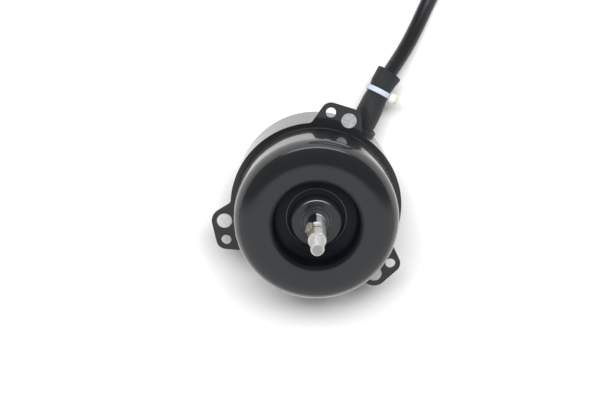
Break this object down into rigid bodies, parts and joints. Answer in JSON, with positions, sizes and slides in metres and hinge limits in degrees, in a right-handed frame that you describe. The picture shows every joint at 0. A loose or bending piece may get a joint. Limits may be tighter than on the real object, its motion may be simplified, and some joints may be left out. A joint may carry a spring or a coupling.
{
  "type": "air conditioner fan motor",
  "caption": "Round black fan motor in two drawn steel shells, with mounting ears, a stepped shaft out of a deep front well and a sheathed lead out of its side.",
  "frame": {"origin": "centre of the front face of the flange and ears, on the shaft axis", "axes": "+Z along the shaft towards its threaded tip, +Y through the middle of the first ear"},
  "size_m": [0.0998, 0.2328, 0.1039],
  "materials": {
    "black_paint": "gloss",
    "core_steel": "matte",
    "slot_film": "satin",
    "wedge_board": "matte",
    "copper_wire": "satin enamel",
    "copper_wire_dark": "satin enamel",
    "fuse_body": "matte",
    "glass_sleeving": "matte",
    "lead_insulation": "satin",
    "shaft_steel": "ground",
    "cage_aluminium": "as cast",
    "nylon": "satin",
    "spring_steel": "oiled",
    "bearing_steel": "ground",
    "ball_steel": "polished",
    "cage_steel": "pressed",
    "shield_steel": "pressed",
    "grommet_rubber": "matte",
    "sleeve_vinyl": "satin",
    "tie_nylon": "satin",
    "cable_sheath": "satin",
    "shrink_sleeve": "satin",
    "connector_nylon": "satin",
    "tinned_brass": "bright"
  },
  "bodies": {
    "housing": {"front_shell": "black_paint", "rear_shell": "black_paint", "stator_core": "core_steel", "slot_liners": "slot_film", "slot_wedges": "wedge_board", "main_winding": "copper_wire", "auxiliary_winding": "copper_wire_dark", "thermal_fuse": "fuse_body", "splice_sleeves": "glass_sleeving", "inner_leads": "lead_insulation", "wave_washer": "spring_steel", "front_bearing_outer_ring": "bearing_steel", "front_bearing_shields": "shield_steel", "rear_bearing_outer_ring": "bearing_steel", "rear_bearing_shields": "shield_steel", "cable_grommet": "grommet_rubber", "cable_sleeve": "sleeve_vinyl", "zip_tie": "tie_nylon", "cable_run": "cable_sheath", "cable_coil": "cable_sheath", "coil_tie": "tie_nylon", "cable_end_sleeve": "shrink_sleeve", "lead_cores": "lead_insulation", "connector_housing": "connector_nylon", "connector_pins": "tinned_brass"},
    "rotor": {"shaft": "shaft_steel", "rotor_core": "core_steel", "rotor_cage": "cage_aluminium", "front_spacer": "nylon", "rear_spacer": "nylon", "front_retaining_ring": "spring_steel", "rear_retaining_ring": "spring_steel", "front_bearing_inner_ring": "bearing_steel", "rear_bearing_inner_ring": "bearing_steel"},
    "front_ball_set": {"front_bearing_balls": "ball_steel", "front_bearing_cage": "cage_steel"},
    "rear_ball_set": {"rear_bearing_balls": "ball_steel", "rear_bearing_cage": "cage_steel"}
  },
  "joints": [
    {"name": "rotor_spin", "type": "hinge", "parent": "housing", "child": "rotor", "pos_m": [0, 0, 0], "axis": [0, 0, 1], "continuous": true},
    {"name": "front_ball_set_spin", "type": "hinge", "parent": "housing", "child": "front_ball_set", "pos_m": [0, 0, 0], "axis": [0, 0, 1], "continuous": true},
    {"name": "rear_ball_set_spin", "type": "hinge", "parent": "housing", "child": "rear_ball_set", "pos_m": [0, 0, 0], "axis": [0, 0, 1], "continuous": true}
  ],
  "couplings": [
    {"joint": "front_ball_set_spin", "follows": "rotor_spin", "ratio": 0.368},
    {"joint": "rear_ball_set_spin", "follows": "rotor_spin", "ratio": 0.368}
  ]
}
